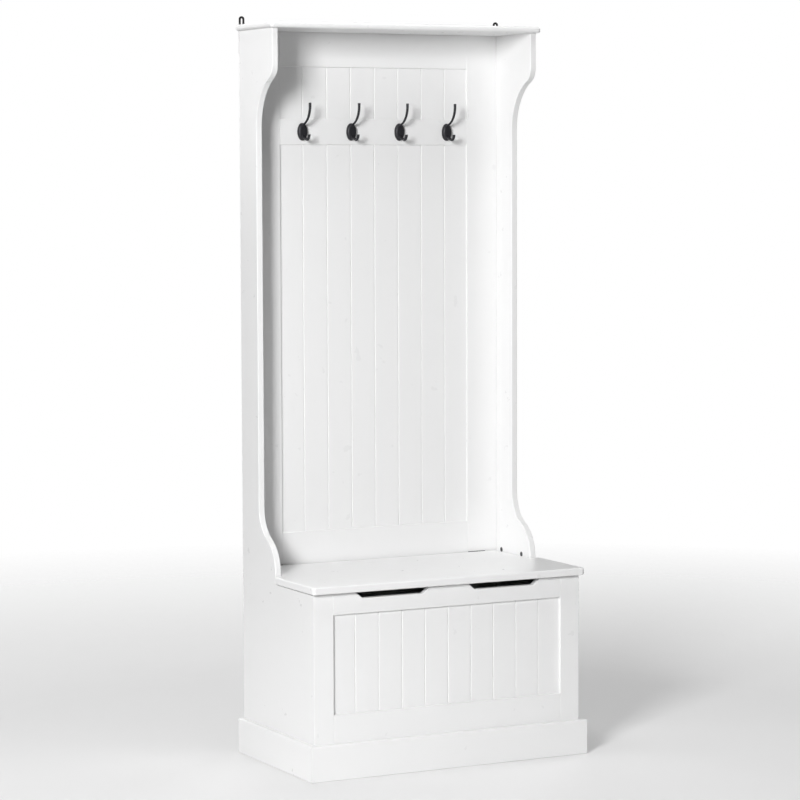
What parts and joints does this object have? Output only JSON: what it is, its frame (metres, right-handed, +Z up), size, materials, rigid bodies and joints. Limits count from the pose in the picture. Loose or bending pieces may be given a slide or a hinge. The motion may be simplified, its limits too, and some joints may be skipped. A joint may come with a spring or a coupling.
{
  "type": "hall tree with hooks",
  "caption": "Hall tree: lift-up storage seat below a framed beadboard back with coat hooks, curved side panels and a top board.",
  "frame": {"origin": "on the floor, below the middle of the overall box", "axes": "+Z up, -Y to the front, +X to the right of someone who faces the front from the back, the plan's right in front view"},
  "size_m": [0.73, 0.408, 1.755],
  "materials": {
    "white_paint": "satin white paint on fibreboard",
    "black_metal": "black powder coat",
    "dark_zinc": "dark die-cast zinc",
    "zinc_steel": "zinc plated",
    "dowel_wood": "raw beech",
    "clear_rubber": "translucent soft pad"
  },
  "bodies": {
    "cabinet": {"left_lower_side": "white_paint", "right_lower_side": "white_paint", "plinth_front": "white_paint", "left_plinth": "white_paint", "right_plinth": "white_paint", "left_front_stile": "white_paint", "right_front_stile": "white_paint", "front_top_rail": "white_paint", "front_bottom_rail": "white_paint", "front_bead_panel": "white_paint", "box_floor": "white_paint", "floor_cleats": "white_paint", "box_back": "white_paint", "left_upper_side": "white_paint", "right_upper_side": "white_paint", "top_board": "white_paint", "left_back_stile": "white_paint", "right_back_stile": "white_paint", "back_bottom_rail": "white_paint", "hook_rail": "white_paint", "back_top_rail": "white_paint", "lower_bead_panel": "white_paint", "upper_bead_panel": "white_paint", "left_hook": "black_metal", "middle_left_hook": "black_metal", "middle_right_hook": "black_metal", "right_hook": "black_metal", "left_wall_plate": "black_metal", "right_wall_plate": "black_metal", "left_hinge_frame_leaf": "black_metal", "right_hinge_frame_leaf": "black_metal", "left_hinge_pin": "black_metal", "right_hinge_pin": "black_metal", "hook_screws": "black_metal", "plate_screws": "black_metal", "frame_hinge_screws": "black_metal", "seat_cam_locks": "dark_zinc", "back_cam_locks": "dark_zinc", "box_cam_locks": "dark_zinc", "seat_cam_bolts": "zinc_steel", "back_cam_bolts": "zinc_steel", "box_cam_bolts": "zinc_steel", "top_screws": "zinc_steel", "front_frame_dowels": "dowel_wood", "back_frame_dowels": "dowel_wood", "lid_bumpers": "clear_rubber"},
    "lid": {"seat_lid": "white_paint", "left_hinge_lid_leaf": "black_metal", "right_hinge_lid_leaf": "black_metal", "lid_hinge_screws": "black_metal"}
  },
  "joints": [
    {"name": "lid_hinge", "type": "hinge", "parent": "cabinet", "child": "lid", "pos_m": [0, 0.1831, 0.446], "axis": [-1, 0, 0], "range_deg": [0, 60]}
  ]
}
